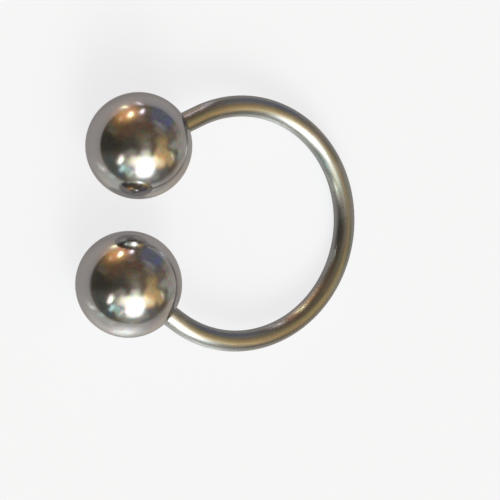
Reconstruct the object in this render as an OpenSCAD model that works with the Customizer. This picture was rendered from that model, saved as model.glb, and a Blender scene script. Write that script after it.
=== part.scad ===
// Septum ring: a horseshoe bar of round steel wire with a ball screwed on each threaded end.
// It lies by itself on its two balls and on the far end of its bend.
// Lengths are millimetres. +X runs from the balls to the bend, +Y to the left ball, +Z up.

/* [Wire] */
// Diameter of the wire, 16 gauge
wire_d = 1.2; // [1:0.1:1.4]

/* [Bend] */
// Mid-line radius of the bend, a true circle that is 12.2 mm wide inside
bend_r = 6.7; // [6.4:0.1:6.8]
// From the line between the ball centres to the middle of the wire at the far end of the bend
reach = 13.4; // [13.2:0.1:14]
// How far the bend's centre lies towards the left ball
bend_shift = -0.14; // [-0.2:0.02:0.2]

/* [Balls] */
// Diameter of each ball
ball_d = 6; // [5:0.5:6]
// Gap between the two balls
ball_gap = 1.8; // [1.6:0.1:2.4]
// Depth of the blind hole in a ball, without the drill's point
hole_depth = 2; // [1.8:0.1:2.2]
// Width of the small bevel round the mouth of the hole
mouth_bevel = 0.1; // [0.05:0.05:0.2]

/* [Thread] */
// Length of thread that a ball takes up
thread_len = 1.6; // [1.4:0.1:1.6]
// Distance from one thread to the next
thread_pitch = 0.25; // [0.2:0.05:0.3]
// Bevel at the tip of the thread
tip_bevel = 0.1; // [0.05:0.05:0.15]
// Clear space between the thread's crests and the wall of the hole
thread_play = 0.05; // [0.02:0.01:0.08]

/* [Hidden] */
$fn = 96;
steel = [0.74, 0.73, 0.75];
wire_r = wire_d / 2;
ball_r = ball_d / 2;
hole_r = wire_r + thread_play;
// Point of the drill that made the hole, 118 degrees across
drill_half_angle = 59;
drill_h = hole_r / tan(drill_half_angle);
// Plane at which a cutter clears the ball
cutter_top = ball_r + 1;
// Level on the hole's axis at which the hole meets the round of the ball
mouth_z = sqrt(ball_r * ball_r - hole_r * hole_r);
// Depth of a thread cut at 60 degrees, and the number of whole turns
thread_depth = 0.6134 * thread_pitch;
thread_turns = floor((thread_len - tip_bevel) / thread_pitch);
thread_tip = ball_r - thread_len;
// Hair-thin sleeve that makes one solid of the bend's two halves where they meet, and its place
seam_rise = 0.004;
seam_len = 0.1;
seam_deg = 45;

// The ring's plane slopes down from the balls until the far end of the wire touches the ground
slope = asin((ball_r - wire_r) / reach);
ball_y = (ball_d + ball_gap) / 2;

// The frame's zero is under the middle of the whole ring
mid_x = (reach * cos(slope) + wire_r - ball_r) / 2;
mid_y = bend_shift;

// In the ring's plane, with the point midway between the ball centres as its zero
bend_x = reach - bend_r;
// Length and direction of the straight that runs from a ball's centre and touches the bend,
// for a bend whose centre is shifted this far towards that ball
function straight_len(shift) = sqrt(pow(bend_x, 2) + pow(shift - ball_y, 2) - bend_r * bend_r);
function straight_deg(shift) = atan2(shift - ball_y, bend_x) + atan2(bend_r, straight_len(shift));

module in_ring_plane() {
    translate([-mid_x, -mid_y, ball_r]) rotate([0, slope, 0]) children();
}

// Puts +Z along a straight that leaves a ball's centre at this angle
module at_ball_centre(deg) {
    translate([0, ball_y, 0]) rotate([0, 0, deg]) rotate([0, 90, 0]) children();
}

// Outline of the threaded straight: the tip, the thread's ridges, then the plain wire
function straight_outline(len) = concat(
    [[0, thread_tip], [wire_r - thread_depth, thread_tip]],
    [for (i = [0:thread_turns - 1], step = [0:1])
        [wire_r - (1 - step) * thread_depth, thread_tip + tip_bevel + (i + step / 2) * thread_pitch]],
    [[wire_r - thread_depth, thread_tip + tip_bevel + thread_turns * thread_pitch],
     [wire_r, ball_r], [wire_r, len], [0, len]]);

module threaded_straight(len) {
    rotate_extrude() polygon(straight_outline(len));
}

// The bend starts where the straight ends, and stops at this angle on the bend's circle
module half_bar(shift, stop_deg) {
    len = straight_len(shift);
    deg = straight_deg(shift);
    at_ball_centre(deg) {
        threaded_straight(len);
        translate([0, -bend_r, len]) rotate([90, 0, 90])
            rotate_extrude(angle = deg + 90 - stop_deg) translate([bend_r, 0]) circle(r = wire_r);
    }
}

// The right half is drawn as a left half, and mirrored
module horseshoe_bar() {
    color(steel) in_ring_plane() union() {
        half_bar(bend_shift, seam_deg);
        mirror([0, 1, 0]) half_bar(-bend_shift, -seam_deg);
        translate([bend_x, bend_shift, 0]) rotate([0, 0, seam_deg]) translate([bend_r, 0, 0])
            rotate([90, 0, 0]) cylinder(r = wire_r + seam_rise, h = seam_len, center = true);
    }
}

// Blind hole with a drill's point at its bottom and a bevel round its mouth
module hole_cutter() {
    bottom = ball_r - hole_depth;
    rotate_extrude() polygon([
        [0, bottom - drill_h], [hole_r, bottom], [hole_r, mouth_z - mouth_bevel],
        [hole_r + mouth_bevel, mouth_z], [hole_r + mouth_bevel, cutter_top], [0, cutter_top]]);
}

module drilled_ball(deg) {
    at_ball_centre(deg) difference() {
        sphere(r = ball_r);
        hole_cutter();
    }
}

module left_ball() {
    color(steel) in_ring_plane() drilled_ball(straight_deg(bend_shift));
}

module right_ball() {
    color(steel) in_ring_plane() mirror([0, 1, 0]) drilled_ball(straight_deg(-bend_shift));
}

horseshoe_bar();
left_ball();
right_ball();
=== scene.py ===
# %% [markdown]
# # A polished septum ring
# The real object is a small horseshoe of round steel wire with a ball screwed on each end. It has
# three pieces and nothing else, so everything depends on two things: the exact run of the wire,
# and a mirror finish with something worth mirroring. This lesson makes the three pieces, gives
# them their steel, and then sets up the lights and cards that the steel shows.
#
# The frame comes first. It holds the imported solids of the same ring, in metres, and every piece
# made here takes the place of one of them.

# %% Load the frame
import math
import bmesh
import bpy
from mathutils import Matrix, Vector


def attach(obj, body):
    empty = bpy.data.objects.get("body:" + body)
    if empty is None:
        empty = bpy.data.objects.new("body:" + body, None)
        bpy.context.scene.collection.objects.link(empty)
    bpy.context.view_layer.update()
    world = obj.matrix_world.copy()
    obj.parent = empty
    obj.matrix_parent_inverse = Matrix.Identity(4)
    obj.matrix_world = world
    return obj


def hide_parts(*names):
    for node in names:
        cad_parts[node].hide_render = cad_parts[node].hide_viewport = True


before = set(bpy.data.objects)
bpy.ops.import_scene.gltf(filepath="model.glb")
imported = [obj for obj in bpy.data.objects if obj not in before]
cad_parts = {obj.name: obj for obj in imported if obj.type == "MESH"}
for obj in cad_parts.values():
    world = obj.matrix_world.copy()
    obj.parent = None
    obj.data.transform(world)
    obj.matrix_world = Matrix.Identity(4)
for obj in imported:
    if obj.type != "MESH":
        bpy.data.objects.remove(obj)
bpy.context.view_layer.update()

# %% [markdown]
# ## The sizes of the ring
# A maker needs only a handful of numbers: the wire, the circle that it is bent to, the two balls
# and the gap between them. Everything else follows. All are in metres, so `MM` keeps them readable.
# The straight ends touch the circle of the bend, so their length and direction come from the ball's
# place. The bend's middle sits a little nearer to one ball, as on the ring in the photo.

# %% Sizes and the straight ends
MM = 0.001
WIRE_R = 0.6 * MM
BEND_R = 6.7 * MM
REACH = 13.4 * MM
BEND_SHIFT = -0.14 * MM
BALL_R = 3.0 * MM
BALL_Y = 3.9 * MM
THREAD_LENGTH = 1.6 * MM
THREAD_PITCH = 0.25 * MM
# The groove of a metric thread takes this share of its pitch
THREAD_DEPTH = 0.6134 * THREAD_PITCH
THREAD_TIP = BALL_R - THREAD_LENGTH
THREAD_PLAY = 0.05 * MM
BEND_X = REACH - BEND_R


def straight_end(shift):
    """Length and direction of the straight from a ball's centre to the circle of the bend."""
    length = math.sqrt(BEND_X ** 2 + (shift - BALL_Y) ** 2 - BEND_R ** 2)
    return length, math.atan2(shift - BALL_Y, BEND_X) + math.atan2(BEND_R, length)


LEFT_LENGTH, LEFT_ANGLE = straight_end(BEND_SHIFT)
RIGHT_LENGTH, RIGHT_ANGLE = straight_end(-BEND_SHIFT)
print("straights in mm:", round(LEFT_LENGTH / MM, 3), round(RIGHT_LENGTH / MM, 3))

# %% [markdown]
# ## How the ring lies
# The ring lies on its two balls and on the far end of its bend. The balls are thicker than the
# wire, so the plane of the ring slopes down towards the bend. One matrix, `RING_PLANE`, carries
# anything drawn flat in that plane to its place on the ground, which keeps all later steps flat
# and simple.

# %% The plane of the ring
SLOPE = math.asin((BALL_R - WIRE_R) / REACH)
MIDDLE_X = (REACH * math.cos(SLOPE) + WIRE_R - BALL_R) / 2
RING_PLANE = Matrix.Translation((-MIDDLE_X, -BEND_SHIFT, BALL_R)) @ Matrix.Rotation(SLOPE, 4, "Y")
print("slope of the ring in degrees:", round(math.degrees(SLOPE), 2))

# %% [markdown]
# ## The camera
# The balls look perfectly round in the photo and the far wire is hardly thinner than the near
# wire, so the camera is far off with a long lens: about 20 cm away for a ring of 17 mm. It
# looks down from the side of the balls. A leaning camera can be made with Track To, but three
# plain angles keep it exact, and they also hold the slight turn of the picture.

# %% Camera
CAMERA_SPOT = Vector((-55.884, 6.526, 196.536)) * MM
CAMERA_ANGLES = (-3.506, -16.312, 4.439)
LENS_LENGTH = 256.9
SENSOR_WIDTH = 36.0
NEAREST, FARTHEST = 0.01, 20.0
camera_data = bpy.data.cameras.new("camera")
camera_data.sensor_width = SENSOR_WIDTH
camera_data.lens = LENS_LENGTH
camera_data.clip_start = NEAREST
camera_data.clip_end = FARTHEST
camera = bpy.data.objects.new("camera", camera_data)
camera.location = CAMERA_SPOT
camera.rotation_euler = [math.radians(angle) for angle in CAMERA_ANGLES]
bpy.context.scene.collection.objects.link(camera)
bpy.context.scene.camera = camera
print("camera height in mm:", round(CAMERA_SPOT.z / MM, 1))

# %% [markdown]
# ## Helpers for node trees
# Shapes, steel and lights are all made with nodes here. A rule such as "radius times cosine" takes
# many small nodes, and short helpers keep it as readable as a formula. `feed` plugs in either a
# link or a plain value, `calc` adds one Math node and hands back its result, `vector_calc` does the
# same for places and directions, and `ranged` maps one span of a value onto another.

# %% Node helpers
def feed(tree, socket, value):
    """Links a node's output to this input, or sets a plain value on it."""
    if isinstance(value, bpy.types.NodeSocket):
        tree.links.new(value, socket)
    else:
        socket.default_value = value


def add_node(tree, kind, inputs=None, **settings):
    """Adds a node, with its settings and its inputs by name."""
    node = tree.nodes.new(kind)
    for name, value in settings.items():
        setattr(node, name, value)
    for name, value in (inputs or {}).items():
        feed(tree, node.inputs[name], value)
    return node


def calc(tree, operation, *values):
    """One step of arithmetic."""
    node = add_node(tree, "ShaderNodeMath", operation=operation)
    for socket, value in zip(node.inputs, values):
        feed(tree, socket, value)
    return node.outputs[0]


def vector_calc(tree, operation, *values):
    """One step of arithmetic with places or directions."""
    node = add_node(tree, "ShaderNodeVectorMath", dict(enumerate(values)), operation=operation)
    return node.outputs[0]


def between(tree, value, low, high):
    """Keeps a value between two limits."""
    return calc(tree, "MINIMUM", calc(tree, "MAXIMUM", value, low), high)


def ranged(tree, value, low, high, low_gives=0.0, high_gives=1.0, **settings):
    """Maps a value between low and high onto two new ends, and stops at both."""
    inputs = {"Value": value, "From Min": low, "From Max": high,
              "To Min": low_gives, "To Max": high_gives}
    return add_node(tree, "ShaderNodeMapRange", inputs, **settings).outputs[0]


# %% [markdown]
# ## Polished steel
# Jewellery steel is ground, then buffed until it mirrors. Up close it is never perfect: the
# buffing wheel leaves hairlines, skin leaves faint smudges, and both show as slightly duller
# reflections, not as colour. So the colour hardly changes, while noise drives the roughness,
# and a very shallow bump carries the hairlines. Painting the reflections on would be quicker,
# but they would stay put when the ring or the viewer moves.
#
# `hairlines` stretches a noise along one direction and keeps only the thin places where it
# crosses its middle value. A second, coarse noise breaks the lines up into separate scratches.

# %% Hairline scratches
NOISE_MIDDLE = 0.5
GAP_SCALE = 0.8
GAP_FROM, GAP_TO = 0.52, 0.62


def hairlines(tree, where, turn, across, along, width):
    """Thin broken lines, 1 on a line and 0 off it. The scales are per millimetre."""
    angles = [math.radians(angle) for angle in turn]
    turned = add_node(tree, "ShaderNodeMapping", {"Vector": where, "Rotation": angles}).outputs[0]
    stretched = add_node(tree, "ShaderNodeMapping", {
        "Vector": turned, "Scale": (across, along, across)}).outputs[0]
    lines = add_node(tree, "ShaderNodeTexNoise", {"Vector": stretched, "Scale": 1.0, "Detail": 1.0})
    off_middle = calc(tree, "ABSOLUTE", calc(tree, "SUBTRACT", lines.outputs[0], NOISE_MIDDLE))
    thin = ranged(tree, off_middle, 0.0, width, 1.0, 0.0, interpolation_type="SMOOTHSTEP")
    gaps = add_node(tree, "ShaderNodeTexNoise", {"Vector": turned, "Scale": GAP_SCALE})
    kept = ranged(tree, gaps.outputs[0], GAP_FROM, GAP_TO)
    return calc(tree, "MULTIPLY", thin, kept)


def scratches(tree, where, lengthwise):
    """Two sets of hairlines, along the wire or in any direction."""
    if lengthwise:
        first = hairlines(tree, where, (90, 0, 0), across=9.0, along=0.22, width=0.035)
        second = hairlines(tree, where, (90, 0, 4), across=16.0, along=0.4, width=0.05)
    else:
        first = hairlines(tree, where, (20, 35, 60), across=7.0, along=0.3, width=0.02)
        second = hairlines(tree, where, (-50, 15, 140), across=8.0, along=0.35, width=0.02)
    return calc(tree, "MAXIMUM", first, second)


print("a scratch breaks off where its second noise is below:", GAP_FROM)

# %% [markdown]
# The finish itself is one function for both slots, because wire and balls are the same metal.
# What differs is the tone, how well it is buffed, and what the scratches follow. On a ball they
# run in any direction. On the wire they follow its length, because it was drawn through a die
# and polished lengthwise, so its pattern reads the wire as it was before it was bent. Smudges and
# scratches are added to the roughness, and a gentle ripple keeps the mirror from being perfect.

# %% The steel
SMUDGE_SCALE = 0.55
SMUDGE_FROM, SMUDGE_TO = 0.45, 0.75
SMUDGE_DULLS, SCRATCH_DULLS = 0.07, 0.1
RIPPLE_SCALE = 1.6
SCRATCH_DEPTH = 0.12
BUMP_STRENGTH, BUMP_HEIGHT = 0.3, 0.004 * MM
RIM_TINT = (0.8, 0.8, 0.8, 1.0)


def polished_steel(name, bright, dull, roughness, grain_of=None):
    """A mirror-polished steel; grain_of names an attribute that its pattern follows."""
    steel = bpy.data.materials.new(name)
    steel.use_nodes = True
    tree = steel.node_tree
    shader = tree.nodes["Principled BSDF"]
    if grain_of:
        place = add_node(tree, "ShaderNodeAttribute", attribute_name=grain_of).outputs["Vector"]
    else:
        place = add_node(tree, "ShaderNodeTexCoord").outputs["Object"]
    in_mm = add_node(tree, "ShaderNodeVectorMath", {0: place, "Scale": 1 / MM}, operation="SCALE")
    spot = in_mm.outputs[0]
    smudge = add_node(tree, "ShaderNodeTexNoise", {
        "Vector": spot, "Scale": SMUDGE_SCALE, "Detail": 4.0, "Roughness": 0.6}).outputs[0]
    tone = add_node(tree, "ShaderNodeMix", {
        "Factor": smudge, "A": (*dull, 1.0), "B": (*bright, 1.0)}, data_type="RGBA")
    feed(tree, shader.inputs["Base Color"], tone.outputs["Result"])
    scratch = scratches(tree, spot, grain_of is not None)
    film = ranged(tree, smudge, SMUDGE_FROM, SMUDGE_TO, roughness, roughness + SMUDGE_DULLS)
    dulled = calc(tree, "MULTIPLY_ADD", scratch, SCRATCH_DULLS, film)
    feed(tree, shader.inputs["Roughness"], dulled)
    ripple = add_node(tree, "ShaderNodeTexNoise", {
        "Vector": spot, "Scale": RIPPLE_SCALE, "Detail": 2.0})
    height = calc(tree, "MULTIPLY_ADD", scratch, -SCRATCH_DEPTH, ripple.outputs[0])
    bump = add_node(tree, "ShaderNodeBump", {
        "Height": height, "Strength": BUMP_STRENGTH, "Distance": BUMP_HEIGHT})
    feed(tree, shader.inputs["Normal"], bump.outputs[0])
    shader.inputs["Metallic"].default_value = 1.0
    shader.inputs["Specular Tint"].default_value = RIM_TINT
    print("steel made:", name, "with", len(tree.nodes), "nodes")
    return steel


WIRE_STEEL = polished_steel("wire_steel", bright=(0.51, 0.53, 0.535), dull=(0.46, 0.48, 0.48),
                            roughness=0.22, grain_of="straight_rod")
BALL_STEEL = polished_steel("ball_steel", bright=(0.62, 0.625, 0.64), dull=(0.57, 0.57, 0.58),
                            roughness=0.12)

# %% [markdown]
# A drawn wire keeps very fine lines along its length, even when it is buffed. They blur what it
# mirrors across the wire and hardly at all along it, so a lamp stays a short spot while the
# long stripes turn soft. Anisotropy does that. It needs to know which way the wire runs, and as
# the wire is bent to a circle, that is simply at right angles to the line from the circle's middle.

# %% Lengthwise polish
ACROSS_ONLY = 0.9
QUARTER_TURN = 0.25
tree = WIRE_STEEL.node_tree
shader = tree.nodes["Principled BSDF"]
bend_middle = RING_PLANE @ Vector((BEND_X, BEND_SHIFT, 0))
plane_normal = RING_PLANE.to_3x3() @ Vector((0, 0, 1))
spot = add_node(tree, "ShaderNodeTexCoord").outputs["Object"]
outwards = vector_calc(tree, "SUBTRACT", spot, bend_middle)
lengthwise = vector_calc(tree, "CROSS_PRODUCT", outwards, plane_normal)
lengthwise = add_node(tree, "ShaderNodeVectorTransform", {"Vector": lengthwise},
                      vector_type="VECTOR", convert_from="OBJECT", convert_to="WORLD")
feed(tree, shader.inputs["Tangent"], lengthwise.outputs[0])
shader.inputs["Anisotropic"].default_value = ACROSS_ONLY
shader.inputs["Anisotropic Rotation"].default_value = QUARTER_TURN
print("middle of the bend in mm:", [round(value / MM, 2) for value in bend_middle])

# %% [markdown]
# ## The horseshoe bar
# A workshop cuts a straight rod, rolls a thread on both ends, and only then bends it round a
# mandrel. Geometry Nodes can follow the same order: a straight rod, its thread, the bend. The other
# way, a pipe along a drawn curve, would need the thread added as separate ridges. Bending by rule
# keeps one closed skin from tip to tip.
#
# The tree gets every size as a named input, so another ring needs new numbers and no new nodes.

# %% The rod's sizes as inputs
RUN_OUT = 0.2 * MM
ROD_LENGTH = LEFT_LENGTH + RIGHT_LENGTH - 2 * THREAD_TIP + BEND_R * (
    LEFT_ANGLE + RIGHT_ANGLE + math.pi)
rod_tree = bpy.data.node_groups.new("bent_threaded_rod", "GeometryNodeTree")
rod_sizes = {
    "Rod length": ROD_LENGTH, "Wire radius": WIRE_R,
    "Thread length": THREAD_LENGTH, "Thread pitch": THREAD_PITCH, "Thread depth": THREAD_DEPTH,
    "Run-out": RUN_OUT, "Bend radius": BEND_R, "Bend centre X": BEND_X,
    "Bend centre Y": BEND_SHIFT, "First straight": LEFT_LENGTH - THREAD_TIP,
    "Second straight": RIGHT_LENGTH - THREAD_TIP, "Start angle": LEFT_ANGLE + math.pi / 2,
}
rod_counts = {"Thread rings": 160, "Bend rings": 420, "Sides": 96}
for size in rod_sizes:
    rod_tree.interface.new_socket(size, in_out="INPUT", socket_type="NodeSocketFloat")
for count in rod_counts:
    rod_tree.interface.new_socket(count, in_out="INPUT", socket_type="NodeSocketInt")
rod_tree.interface.new_socket("Steel", in_out="INPUT", socket_type="NodeSocketMaterial")
rod_tree.interface.new_socket("Rod", in_out="OUTPUT", socket_type="NodeSocketGeometry")
rod_in = rod_tree.nodes.new("NodeGroupInput").outputs
print("rod length in mm:", round(ROD_LENGTH / MM, 2))

# %% [markdown]
# The rod starts as rings strung on a line. The threaded ends need rings about every hundredth of
# a millimetre, and the plain wire far fewer, so each ring's place along the rod comes from its
# number: first a count of fine steps, then of coarse ones, then of fine ones again.

# %% The place of each ring
def rod(operation, *values):
    """Arithmetic in the rod's tree; a name stands for the input of that name."""
    return calc(rod_tree, operation, *[rod_in[v] if isinstance(v, str) else v for v in values])


ring_number = add_node(rod_tree, "GeometryNodeInputIndex").outputs[0]
thread_step = rod("DIVIDE", "Thread length", "Thread rings")
plain_length = rod("SUBTRACT", "Rod length", rod("MULTIPLY", "Thread length", 2.0))
bend_step = rod("DIVIDE", plain_length, "Bend rings")
past_first = rod("SUBTRACT", ring_number, "Thread rings")
plain_rings = between(rod_tree, past_first, 0.0, rod_in["Bend rings"])
end_rings = rod("SUBTRACT", ring_number, plain_rings)
ring_place = rod("ADD", rod("MULTIPLY", end_rings, thread_step),
                 rod("MULTIPLY", plain_rings, bend_step))
ring_count = rod("ADD", rod("MULTIPLY_ADD", "Thread rings", 2.0, "Bend rings"), 1.0)
print("rings on the rod:", 2 * rod_counts["Thread rings"] + rod_counts["Bend rings"] + 1)

# %% [markdown]
# `strung` is that line of ring places, and a circle swept along it gives the skin. Two numbers
# travel with every point: `along`, its distance from the first tip, and `around`, its place on the
# circle from 0 to 1. All that follows is written with these two.

# %% Rings on a line
def keep(geometry, name, value, data_type="FLOAT"):
    """Stores a value on every point under a name."""
    node = add_node(rod_tree, "GeometryNodeStoreNamedAttribute", data_type=data_type)
    node.domain = "POINT"
    feed(rod_tree, node.inputs["Geometry"], geometry)
    feed(rod_tree, node.inputs["Name"], name)
    feed(rod_tree, node.inputs["Value"], value)
    return node.outputs[0]


def recall(name):
    """Reads a stored number back."""
    node = add_node(rod_tree, "GeometryNodeInputNamedAttribute", {"Name": name})
    return node.outputs["Attribute"]


def joined(x, y, z):
    """Three numbers as one place."""
    return add_node(rod_tree, "ShaderNodeCombineXYZ", {"X": x, "Y": y, "Z": z}).outputs[0]


def moved(geometry, place):
    """Every point at its new place."""
    node = add_node(rod_tree, "GeometryNodeSetPosition", {"Geometry": geometry, "Position": place})
    return node.outputs[0]


line = add_node(rod_tree, "GeometryNodeCurvePrimitiveLine").outputs[0]
strung = add_node(rod_tree, "GeometryNodeResampleCurve", {"Curve": line, "Count": ring_count})
strung = keep(strung.outputs[0], "along", ring_place)
strung = moved(strung, joined(0.0, 0.0, ring_place))
circle = add_node(rod_tree, "GeometryNodeCurvePrimitiveCircle", {"Resolution": rod_in["Sides"]})
circle = keep(circle.outputs["Curve"], "around", rod("DIVIDE", ring_number, "Sides"))
skin = add_node(rod_tree, "GeometryNodeCurveToMesh", {"Curve": strung, "Profile Curve": circle})
skin.inputs["Fill Caps"].default_value = True
along, around = recall("along"), recall("around")
print("tree so far:", len(rod_tree.nodes), "nodes")

# %% [markdown]
# ## The thread
# Look along a screw and its outline is not round: it is a cam, with a crest on one side and the
# root of the groove on the other. Turn that cam once for every pitch and a thread appears. So
# `around` decides the depth of the groove, with a narrow flat on the crest and a wider one at the
# root as on a real thread, and the twist grows by one turn a pitch. The edges of the mesh then run
# along the crests, which keeps them crisp. The groove fades out before the plain wire, and the tip
# is cut back so that the ball starts easily.

# %% Crest, root and twist
CREST_FLAT = 1 / 8
ROOT_FLAT = 1 / 4
off_crest = rod("SUBTRACT", 1.0, rod("ABSOLUTE", rod("MULTIPLY_ADD", around, 2.0, -1.0)))
flank = rod("DIVIDE", rod("SUBTRACT", off_crest, CREST_FLAT), 1 - CREST_FLAT - ROOT_FLAT)
groove = between(rod_tree, flank, 0.0, 1.0)
from_tip = rod("MINIMUM", along, rod("SUBTRACT", "Rod length", along))
left_of_thread = rod("DIVIDE", rod("SUBTRACT", "Thread length", from_tip), "Run-out")
cut = rod("MULTIPLY", groove, between(rod_tree, left_of_thread, 0.0, 1.0))
radius = rod("SUBTRACT", "Wire radius", rod("MULTIPLY", cut, "Thread depth"))
tip_cone = rod("ADD", rod("SUBTRACT", "Wire radius", "Thread depth"), from_tip)
radius = rod("MINIMUM", radius, tip_cone)
second_start = rod("SUBTRACT", "Rod length", "Thread length")
wound = rod("ADD", rod("MINIMUM", along, "Thread length"),
            rod("MAXIMUM", rod("SUBTRACT", along, second_start), 0.0))
turned = rod("MULTIPLY", rod("ADD", around, rod("DIVIDE", wound, "Thread pitch")), 2 * math.pi)
side = rod("MULTIPLY", radius, rod("COSINE", turned))
rise = rod("MULTIPLY", radius, rod("SINE", turned))
straight = keep(skin.outputs[0], "straight_rod", joined(side, rise, along), "FLOAT_VECTOR")
print("turns of thread on each end:", round(THREAD_LENGTH / THREAD_PITCH, 1))

# %% [markdown]
# ## The bend
# Bending turns distance along the rod into an angle on the circle of the bend. The two ends stay
# straight, so the angle stops growing there and the rest of the distance runs on along the tangent.
# A point beside the middle of the rod keeps its distance from it, outwards or up.

# %% Bend the rod
bent_length = rod("SUBTRACT", rod("SUBTRACT", "Rod length", "First straight"), "Second straight")
into_bend = rod("SUBTRACT", along, "First straight")
on_circle = between(rod_tree, into_bend, 0.0, bent_length)
run_on = rod("SUBTRACT", into_bend, on_circle)
angle = rod("SUBTRACT", "Start angle", rod("DIVIDE", on_circle, "Bend radius"))
out = rod("ADD", "Bend radius", side)
cosine, sine = rod("COSINE", angle), rod("SINE", angle)
flat_x = rod("ADD", "Bend centre X",
             rod("MULTIPLY_ADD", out, cosine, rod("MULTIPLY", run_on, sine)))
flat_y = rod("ADD", "Bend centre Y", rod("SUBTRACT", rod("MULTIPLY", out, sine),
                                         rod("MULTIPLY", run_on, cosine)))
bent = moved(straight, joined(flat_x, flat_y, rise))
bent = add_node(rod_tree, "GeometryNodeRealizeInstances", {"Geometry": bent}).outputs[0]
coated = add_node(rod_tree, "GeometryNodeSetMaterial", {
    "Geometry": bent, "Material": rod_in["Steel"]})
rod_out = rod_tree.nodes.new("NodeGroupOutput")
rod_tree.links.new(coated.outputs[0], rod_out.inputs["Rod"])
print("tree of the rod:", len(rod_tree.nodes), "nodes")

# %% [markdown]
# An empty mesh carries the tree as a modifier. The modifier knows each input by its socket's
# identifier and not by its name, so a small dictionary translates, and every value is set before
# the object is evaluated for the first time.

# %% Give the tree its values
maker = bpy.data.objects.new("rod_maker", bpy.data.meshes.new("rod_maker"))
bpy.context.scene.collection.objects.link(maker)
modifier = maker.modifiers.new("rod", "NODES")
modifier.node_group = rod_tree
identifiers = {s.name: s.identifier for s in rod_tree.interface.items_tree if s.in_out == "INPUT"}
for name, value in {**rod_sizes, **rod_counts, "Steel": WIRE_STEEL}.items():
    modifier[identifiers[name]] = value
print("inputs set:", len(identifiers))

# %% [markdown]
# The evaluated result becomes a plain mesh and its maker is thrown away. Edges where the surface
# turns sharply, such as the crests of the thread, are marked sharp, and everything else is shaded
# smooth, because a mirror shows every facet.

# %% Finish a mesh
SHARP = math.radians(25)
SAME_SPOT = 1e-8


def finished(name, mesh, place, steel):
    """A piece at the origin with its place in its mesh, its faces outwards and its edges set."""
    mesh.name = name
    work = bmesh.new()
    work.from_mesh(mesh)
    bmesh.ops.remove_doubles(work, verts=work.verts, dist=SAME_SPOT)
    work.transform(place)
    bmesh.ops.recalc_face_normals(work, faces=work.faces)
    open_edges = sum(1 for edge in work.edges if len(edge.link_faces) != 2)
    for face in work.faces:
        face.smooth = True
    work.to_mesh(mesh)
    work.free()
    mesh.set_sharp_from_angle(angle=SHARP)
    if not mesh.materials:
        mesh.materials.append(steel)
    piece = bpy.data.objects.new(name, mesh)
    bpy.context.scene.collection.objects.link(piece)
    triangles = sum(len(face.vertices) - 2 for face in mesh.polygons)
    print(name, "triangles:", triangles, "open edges:", open_edges)
    return piece


bpy.context.view_layer.update()
graph = bpy.context.evaluated_depsgraph_get()
rod_mesh = bpy.data.meshes.new_from_object(maker.evaluated_get(graph))
bpy.data.objects.remove(maker)
for name in ("along", "around"):
    rod_mesh.attributes.remove(rod_mesh.attributes[name])
bar = finished("polished_horseshoe_bar", rod_mesh, RING_PLANE, WIRE_STEEL)

# %% [markdown]
# ## The balls
# A ball like this is ground round, drilled from one side and tapped. It could be a sphere with
# a hole cut by a boolean, but that leaves slivers where the cut meets the sphere, and a mirror
# shows them. So the ball is turned like a part on a lathe: one outline runs from the pole
# over the round, round the bevel at the mouth, down the wall of the hole and along the drill's
# point to the middle.
#
# Each step of the outline gives a radius, a height on the axis, how deep the thread is cut there,
# and the level that its twist is counted from, which moves only inside the hole. The tap doesn't
# reach the very bottom, and its first turn fades in behind the bevel.

# %% Outline of a drilled and tapped ball
HOLE_R = WIRE_R + THREAD_PLAY
HOLE_BOTTOM = 1.0 * MM
MOUTH_BEVEL = 0.1 * MM
DRILL_HALF_ANGLE = math.radians(59)
DRILL_POINT = HOLE_R / math.tan(DRILL_HALF_ANGLE)
ROUND_STEPS = 120
TAP_STEPS = 150
TAP_FADE = 0.15 * MM

bevel_foot = math.sqrt(BALL_R ** 2 - HOLE_R ** 2) - MOUTH_BEVEL
# The bevel is a cone at 45 degrees; this is the radius at which it meets the round
cone_start = bevel_foot - HOLE_R
mouth_r = (math.sqrt(2 * BALL_R ** 2 - cone_start ** 2) - cone_start) / 2
round_end = math.pi - math.asin(mouth_r / BALL_R)
outline = [(0.0, -BALL_R, 0.0, bevel_foot)]
for step in range(1, ROUND_STEPS + 1):
    swing = round_end * step / ROUND_STEPS
    outline.append((BALL_R * math.sin(swing), -BALL_R * math.cos(swing), 0.0, bevel_foot))
for step in range(TAP_STEPS + 1):
    height = bevel_foot + (HOLE_BOTTOM - bevel_foot) * step / TAP_STEPS
    from_end = min(bevel_foot - height, height - HOLE_BOTTOM)
    outline.append((HOLE_R, height, THREAD_DEPTH * min(from_end / TAP_FADE, 1.0), height))
outline.append((HOLE_R / 2, HOLE_BOTTOM - DRILL_POINT / 2, 0.0, HOLE_BOTTOM))
outline.append((0.0, HOLE_BOTTOM - DRILL_POINT, 0.0, HOLE_BOTTOM))
print("outline steps:", len(outline), "mouth radius in mm:", round(mouth_r / MM, 3))

# %% [markdown]
# The thread in the hole is the same cam as on the bar, a little wider, and it must be in step with
# it, or the two would cut through each other. Both balls count their turns from the bar's own
# tip, so the crest of one stands in the groove of the other.

# %% Turn a ball
COLUMNS = 128


def groove_depth(share):
    """How deep the groove is at this share of a turn from the crest."""
    away = 1 - abs(2 * (share % 1.0) - 1)
    return min(max((away - CREST_FLAT) / (1 - CREST_FLAT - ROOT_FLAT), 0.0), 1.0)


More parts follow.
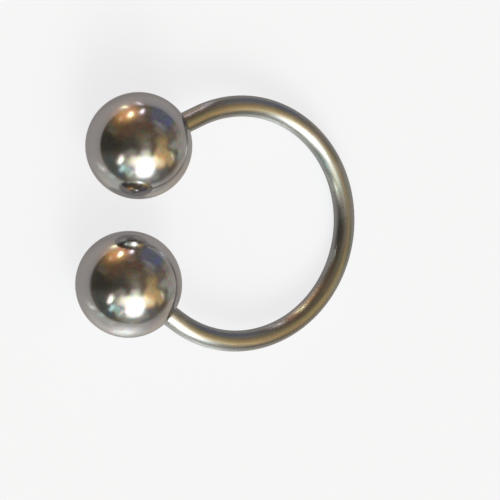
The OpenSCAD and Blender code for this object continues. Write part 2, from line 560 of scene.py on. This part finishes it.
def turned_ball(name, place, first_turn):
    """A ball turned from the outline; first_turn is where the bar's crest stands at its tip."""
    points, faces, rings = [], [], []
    for ring_r, height, depth, level in outline:
        if ring_r == 0.0:
            rings.append([len(points)])
            points.append((0.0, 0.0, height))
            continue
        turns = (level - THREAD_TIP) / THREAD_PITCH + first_turn
        rings.append(list(range(len(points), len(points) + COLUMNS)))
        for column in range(COLUMNS):
            share = column / COLUMNS
            reach = ring_r - depth * groove_depth(share)
            swing = 2 * math.pi * (share + turns)
            points.append((reach * math.cos(swing), reach * math.sin(swing), height))
    for low, high in zip(rings, rings[1:]):
        for column in range(COLUMNS):
            after = (column + 1) % COLUMNS
            corners = [low[column % len(low)], low[after % len(low)],
                       high[after % len(high)], high[column % len(high)]]
            faces.append(tuple(dict.fromkeys(corners)))
    mesh = bpy.data.meshes.new(name)
    mesh.from_pydata(points, [], faces)
    return finished(name, mesh, place, BALL_STEEL)


# %% [markdown]
# A ball's own axis runs from its centre along the straight end that it is screwed on. `ball_place`
# builds that frame from three directions: away from the middle of the bend, off the plane, and
# along the straight. The second ball sits on the other end of the rod, so its frame is turned over
# and its thread starts as many turns on as the rod's two threads have together.

# %% Place the balls
def ball_place(side, direction):
    """Frame of a ball; side is 1 for the left one and -1 for the right one."""
    sine, cosine = math.sin(direction), math.cos(direction)
    frame_of = Matrix.Identity(4)
    frame_of.col[0] = (-sine, side * cosine, 0, 0)
    frame_of.col[1] = (0, 0, side, 0)
    frame_of.col[2] = (cosine, side * sine, 0, 0)
    frame_of.col[3] = (0, side * BALL_Y, 0, 1)
    return RING_PLANE @ frame_of


left_ball = turned_ball("polished_left_ball", ball_place(1, LEFT_ANGLE), 0.0)
both_threads = 2 * THREAD_LENGTH / THREAD_PITCH
right_ball = turned_ball("polished_right_ball", ball_place(-1, RIGHT_ANGLE), -both_threads)

# %% [markdown]
# ## Each piece on its body
# The bar and the two balls are three bodies, because each ball can be unscrewed. Every piece rides
# on its body, its imported solid is hidden, and its steel was given when it was made.

# %% Ride and hide
for piece, node, body, slot in (
    (bar, "horseshoe_bar", "bar", "wire_steel"),
    (left_ball, "left_ball", "left_ball", "ball_steel"),
    (right_ball, "right_ball", "right_ball", "ball_steel"),
):
    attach(piece, body)
    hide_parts(node)
    print(piece.name, "rides on", body)

# %% [markdown]
# ## The floor
# The ring rests on a plain floor. One large square is enough, and it isn't part of the ring.

# %% Floor
FLOOR_HALF = 6.0
floor_mesh = bpy.data.meshes.new("floor")
corners = [(x * FLOOR_HALF, y * FLOOR_HALF, 0) for x, y in ((-1, -1), (1, -1), (1, 1), (-1, 1))]
floor_mesh.from_pydata(corners, [], [(0, 1, 2, 3)])
floor = bpy.data.objects.new("floor", floor_mesh)
bpy.context.scene.collection.objects.link(floor)
print("floor reaches this far in metres:", FLOOR_HALF)

# %% [markdown]
# The floor is pale, with a soft shadow. Polished steel on such a floor would turn white all round
# its rims, and the photo's ring has warm grey rims. One floor does both. Seen directly it is the
# pale floor. In the steel it is a small grey board with two near edges and nothing beyond them.
# The board has a broad gloss and a thin varnish, leant by a few degrees, which draw the lights'
# streaks under the balls, and it glows faintly, so that the balls' own shade on it doesn't
# blacken their rims.

# %% Pale floor and grey board
FLOOR_GLOW, FLOOR_GREY = (0.772, 0.776, 0.792, 1.0), (0.22, 0.224, 0.235, 1.0)
BOARD_GLOW, BOARD_GREY = (0.295, 0.277, 0.28, 1.0), (0.26, 0.25, 0.245, 1.0)
BOARD_LEAN = (-0.028, 0.04, 0.999)
floor_look = bpy.data.materials.new("pale_floor")
floor_look.use_nodes = True
tree = floor_look.node_tree
tree.nodes.clear()
glow = add_node(tree, "ShaderNodeEmission", {"Color": FLOOR_GLOW})
matt = add_node(tree, "ShaderNodeBsdfDiffuse", {"Color": FLOOR_GREY})
pale = add_node(tree, "ShaderNodeAddShader", {0: glow.outputs[0], 1: matt.outputs[0]})
lean = add_node(tree, "ShaderNodeCombineXYZ", dict(zip("XYZ", BOARD_LEAN))).outputs[0]
board = add_node(tree, "ShaderNodeBsdfPrincipled", {
    "Base Color": BOARD_GREY, "Roughness": 0.5, "IOR": 1.8, "Normal": lean,
    "Coat Weight": 1.0, "Coat Roughness": 0.06, "Coat IOR": 1.9, "Coat Normal": lean,
    "Emission Color": BOARD_GLOW, "Emission Strength": 1.0})
print("nodes of the two looks:", len(tree.nodes))

# %% [markdown]
# A Light Path node picks between the two looks: one for the view itself, the other for everything
# that the steel mirrors. It works on the floor alone, never on the ring's own finish.

# %% Pick the look
BOARD_EDGE_X, BOARD_EDGE_Y = -23.5 * MM, 42.0 * MM
floor_spot = add_node(tree, "ShaderNodeTexCoord").outputs["Object"]
floor_spot = add_node(tree, "ShaderNodeSeparateXYZ", {0: floor_spot}).outputs
on_board = calc(tree, "MULTIPLY", calc(tree, "GREATER_THAN", floor_spot["X"], BOARD_EDGE_X),
                calc(tree, "LESS_THAN", floor_spot["Y"], BOARD_EDGE_Y))
nothing = add_node(tree, "ShaderNodeBsdfTransparent")
mirrored = add_node(tree, "ShaderNodeMixShader", {
    0: on_board, 1: nothing.outputs[0], 2: board.outputs[0]})
direct = add_node(tree, "ShaderNodeLightPath").outputs["Is Camera Ray"]
chosen = add_node(tree, "ShaderNodeMixShader", {
    0: direct, 1: mirrored.outputs[0], 2: pale.outputs[0]})
surface = tree.nodes.new("ShaderNodeOutputMaterial")
tree.links.new(chosen.outputs[0], surface.inputs["Surface"])
floor_mesh.materials.append(floor_look)
print("board edges at mm:", BOARD_EDGE_X / MM, BOARD_EDGE_Y / MM)

# %% [markdown]
# ## Lights and cards for a mirror
# A mirror has no look of its own, so what stands round the ring is half the picture.
# Photographers surround polished metal with soft boxes, coloured cards and dark flags. At this
# small scale real ones would have to be placed to a millimetre. It is easier to give the world
# itself soft cards by direction. They light the ring, throw its shadow, and look alike in both
# balls, as things far away do.
#
# One node group makes a card. Three dot products say how far a direction points to the card's
# side, above it, and away from it, and their length is 1 on the card's edge. A boxy card squares
# two of them first, which fills its corners. Within the soft edge, the card blends over what
# is there so far.

# %% A soft card
def card_group(name, boxy):
    """The node group of a round card or of a boxy one."""
    tree = bpy.data.node_groups.new(name, "ShaderNodeTree")
    for socket, kind in (("Direction", "Vector"), ("Sideways", "Vector"), ("Upwards", "Vector"),
                         ("Away", "Vector"), ("Softness", "Float"), ("Behind", "Color"),
                         ("Colour", "Color")):
        tree.interface.new_socket(socket, in_out="INPUT", socket_type="NodeSocket" + kind)
    tree.interface.new_socket("Result", in_out="OUTPUT", socket_type="NodeSocketColor")
    inputs = tree.nodes.new("NodeGroupInput").outputs

    def towards(axis):
        dot = add_node(tree, "ShaderNodeVectorMath", {0: inputs["Direction"], 1: inputs[axis]},
                       operation="DOT_PRODUCT")
        return dot.outputs["Value"]

    side, up = towards("Sideways"), towards("Upwards")
    away = calc(tree, "MAXIMUM", towards("Away"), 0.0)
    if boxy:
        side, up = calc(tree, "MULTIPLY", side, side), calc(tree, "MULTIPLY", up, up)
    offset = add_node(tree, "ShaderNodeCombineXYZ", {"X": side, "Y": up, "Z": away}).outputs[0]
    far = add_node(tree, "ShaderNodeVectorMath", {0: offset}, operation="LENGTH").outputs["Value"]
    if boxy:
        far = calc(tree, "SQRT", far)
    edge_starts = calc(tree, "SUBTRACT", 1.0, inputs["Softness"])
    edge_ends = calc(tree, "ADD", 1.0, inputs["Softness"])
    inside = ranged(tree, far, edge_starts, edge_ends, 1.0, 0.0, interpolation_type="SMOOTHSTEP")
    blend = add_node(tree, "ShaderNodeMix", {
        "Factor": inside, "A": inputs["Behind"], "B": inputs["Colour"]}, data_type="RGBA")
    result = tree.nodes.new("NodeGroupOutput")
    tree.links.new(blend.outputs["Result"], result.inputs["Result"])
    print(name, "has", len(tree.nodes), "nodes")
    return tree


ROUND_CARD = card_group("round_card", False)
BOXY_CARD = card_group("boxy_card", True)

# %% [markdown]
# Cards with ruler-straight edges look drawn. So the direction is stirred a little by noise before
# any card reads it, and each edge wavers as a real reflection does on metal that was buffed by
# hand. Adding a small noise to a direction and making it one long again does that.

# %% Stir the directions
STIR_SCALE, STIR_AMOUNT = 7.0, 0.16
world = bpy.data.worlds.new("lights_and_cards")
bpy.context.scene.world = world
world.use_nodes = True
sky = world.node_tree
sky.nodes.clear()
straight_on = add_node(sky, "ShaderNodeTexCoord").outputs["Generated"]
stir = add_node(sky, "ShaderNodeTexNoise", {
    "Vector": straight_on, "Scale": STIR_SCALE, "Detail": 3.0}).outputs["Color"]
stir = vector_calc(sky, "SUBTRACT", stir, (NOISE_MIDDLE,) * 3)
stir = add_node(sky, "ShaderNodeVectorMath", {0: stir, "Scale": STIR_AMOUNT}, operation="SCALE")
stirred = vector_calc(sky, "ADD", straight_on, stir.outputs[0])
stirred = vector_calc(sky, "NORMALIZE", stirred)
print("directions are stirred by up to about:", STIR_AMOUNT / 2)

# %% [markdown]
# `card` adds one card at a time. Its colour is given as it should show in the steel, from 0 to
# 255. The helper `as_seen` turns it into light, by the curve that every screen uses and by the
# steel's own tone, and `times` makes a light brighter than white. Where no card hangs, the steel
# shows one bare brownish shade. Behind a card the distance from it counts more, so that no card
# shows twice.

# %% Cards by direction
STEEL_TONE = 0.6
BARE_SHADE = (86, 76, 62)
BEHIND_COUNTS = 4.0
cards = []


def as_seen(shade, times=1.0):
    """Light that shows in the steel as this screen colour."""
    linear = [((value / 255 + 0.055) / 1.055) ** 2.4 for value in shade]
    return (*[value / STEEL_TONE * times for value in linear], 1.0)


def card(azimuth, elevation, half_width, half_height, shade, times=1.0,
         soft=0.4, roll=0, boxy=False):
    """Blends one card over those so far. Angles are in degrees."""
    turn = (Matrix.Rotation(math.radians(azimuth), 3, "Z")
            @ Matrix.Rotation(-math.radians(elevation), 3, "Y")
            @ Matrix.Rotation(math.radians(roll), 3, "X"))
    group = sky.nodes.new("ShaderNodeGroup")
    group.node_tree = BOXY_CARD if boxy else ROUND_CARD
    values = {
        "Direction": stirred,
        "Sideways": turn.col[1] / math.sin(math.radians(half_width)),
        "Upwards": turn.col[2] / math.sin(math.radians(half_height)),
        "Away": turn.col[0] * -BEHIND_COUNTS, "Softness": soft,
        "Behind": cards[-1] if cards else as_seen(BARE_SHADE), "Colour": as_seen(shade, times),
    }
    for name, value in values.items():
        feed(sky, group.inputs[name], value)
    cards.append(group.outputs[0])


print("bare light:", [round(value, 3) for value in as_seen(BARE_SHADE)[:3]])

# %% [markdown]
# The list goes round the ring. An azimuth is counted from the far end of the bend towards the
# left ball and an elevation from the floor up. Big dim cards come first and lights last, because
# each one covers those before it. Overhead it is dim and brownish, with a dark flag behind the
# balls that gives the steel its blacks.

# %% Overhead and the dark side
card(0, 90, 12, 12, (120, 110, 101), soft=0.6)
card(-84, 74, 11, 8, (206, 199, 180), soft=0.6)
card(120, 72, 22, 9, (102, 95, 76), soft=0.6)
card(-175, 62, 24, 16, (68, 64, 56), soft=0.6)
card(-146, 51, 10, 15, (138, 130, 120), soft=0.6)
card(-142, 6, 26, 16, (70, 74, 68), soft=0.5)
card(176, 12, 21, 37, (49, 47, 40), soft=0.5, boxy=True)
card(156, 11, 5, 15, (88, 84, 72), soft=0.6)
card(135, 28, 24, 20, (88, 67, 50), soft=0.7)
card(85, 45, 26, 14, (84, 68, 56), soft=0.7)
card(98, 28, 8, 8, (112, 92, 78), soft=0.6)
print("cards so far:", len(cards))

# %% [markdown]
# On the bend's side hang a blue-grey card and a tan one. The tan card is brightest where the big
# light catches it, and a brown flag cuts an arch out of its lower corner.

# %% Coloured cards
card(20, 4, 16, 15, (116, 110, 102), soft=0.5)
card(22, 22, 9, 13, (94, 86, 76), soft=0.5)
card(46, 42, 13, 8, (110, 98, 88), soft=0.6)
card(56, 14, 19, 22, (84, 86, 94), soft=0.35, boxy=True)
card(44, 9, 6, 12, (84, 87, 110), soft=0.7)
card(56, 32, 12, 5, (118, 115, 114), soft=0.6)
card(0, 2, 16, 9, (140, 135, 127), soft=0.5)
card(5, 20, 8, 15, (132, 128, 119), soft=0.5)
card(-8, 20, 3.5, 13, (90, 86, 76), soft=0.6)
card(14, 58, 11, 8, (122, 105, 72), soft=0.7)
card(-8, 53, 23, 12, (146, 122, 84), soft=0.4, boxy=True)
card(-24, 58, 12, 8, (174, 149, 110), soft=0.6)
card(-20, 35, 11, 21, (165, 139, 98), soft=0.3, boxy=True)
card(-31, 46, 8, 11, (202, 156, 108), soft=0.6)
card(-44, 39, 9, 12, (230, 198, 149), soft=0.6)
card(-54, 46, 9, 8, (252, 240, 200), soft=0.6)
card(-15, 21, 2.5, 9, (200, 186, 168), roll=-35)
card(-82, 12, 19, 13, (137, 134, 126), soft=0.5)
card(-52, 6, 14, 28, (90, 84, 80), soft=0.25)
card(-62, 19, 7, 12, (128, 128, 121), soft=0.7)
print("cards so far:", len(cards))

# %% [markdown]
# The main light is one big soft box, high on the right ball's side, with a yellow edge, a cream
# one and a much brighter middle. A cool card and a small white lamp stand beside it. Low on the
# other side stand a warm lamp with its glow and a second small white lamp.

# %% Lights
card(-46, 52, 8, 10, (240, 214, 160), soft=0.5)
card(-122, 39, 13, 7, (188, 174, 158), soft=0.6)
card(-121, 50, 10, 9, (234, 220, 203), soft=0.6)
card(-86, 55, 22, 15, (255, 255, 244), 1.2, soft=0.4)
card(-83, 38, 17, 18, (255, 255, 250), 1.6, soft=0.4)
card(-82, 44, 9, 14, (255, 255, 252), 4.5, soft=0.45)
card(-107, 19, 9, 10, (136, 138, 130), soft=0.5)
card(-118, 26, 9, 9, (144, 168, 158), soft=0.5)
card(-107, 23, 2.5, 8, (206, 210, 204), soft=0.7)
card(-127, 20, 4, 11, (188, 216, 216), soft=0.6, roll=15)
card(-122, 4, 8, 7, (72, 78, 82), soft=0.5)
card(-138, 3, 8, 7, (64, 66, 63), soft=0.5)
card(-144, 28, 5, 11, (255, 248, 234), 1.1, soft=0.5, roll=35)
card(-144, 29, 2.2, 6, (255, 252, 236), 2.5, soft=0.5, roll=35)
card(120, 6, 19, 17, (140, 102, 64), soft=0.7)
card(114, 6, 15, 15, (204, 148, 98), soft=0.8)
card(130, 7, 3, 4, (216, 164, 118), soft=0.6)
card(113, 11, 4, 8, (255, 232, 192), 1.0, soft=0.6, roll=-40)
card(112, 11, 2.2, 5, (255, 238, 200), 4.0, soft=0.6, roll=-35)
card(91, 9, 2.8, 8, (255, 252, 242), 1.1, soft=0.5, roll=-35)
card(91, 9, 2, 5, (255, 252, 242), 2.4, soft=0.6, roll=-30)
print("cards and lights:", len(cards))

# %% [markdown]
# Seen directly, the far distance has the floor's own tone, so a low view has no hard horizon.
# Everything else, the steel above all, sees the lights and cards, mottled a little by a last
# noise. The Standard view transform shows every shade just as it was set.

# %% Light the scene and set the tone
FAR_TONE = (0.925, 0.925, 0.925, 1.0)
MOTTLE_SCALE = 11.0
MOTTLE_GAIN, MOTTLE_BASE = (1.8,) * 3, (0.1,) * 3
mottle = add_node(sky, "ShaderNodeTexNoise", {
    "Vector": straight_on, "Scale": MOTTLE_SCALE, "Detail": 3.0}).outputs["Color"]
mottle = vector_calc(sky, "MULTIPLY_ADD", mottle, MOTTLE_GAIN, MOTTLE_BASE)
mottled = vector_calc(sky, "MULTIPLY", cards[-1], mottle)
seen_directly = add_node(sky, "ShaderNodeLightPath").outputs["Is Camera Ray"]
view = add_node(sky, "ShaderNodeMix", {
    "Factor": seen_directly, "A": mottled, "B": FAR_TONE}, data_type="RGBA")
background = add_node(sky, "ShaderNodeBackground", {"Color": view.outputs["Result"]})
world_out = sky.nodes.new("ShaderNodeOutputWorld")
sky.links.new(background.outputs[0], world_out.inputs["Surface"])
bpy.context.scene.view_settings.view_transform = "Standard"
print("world nodes:", len(sky.nodes))
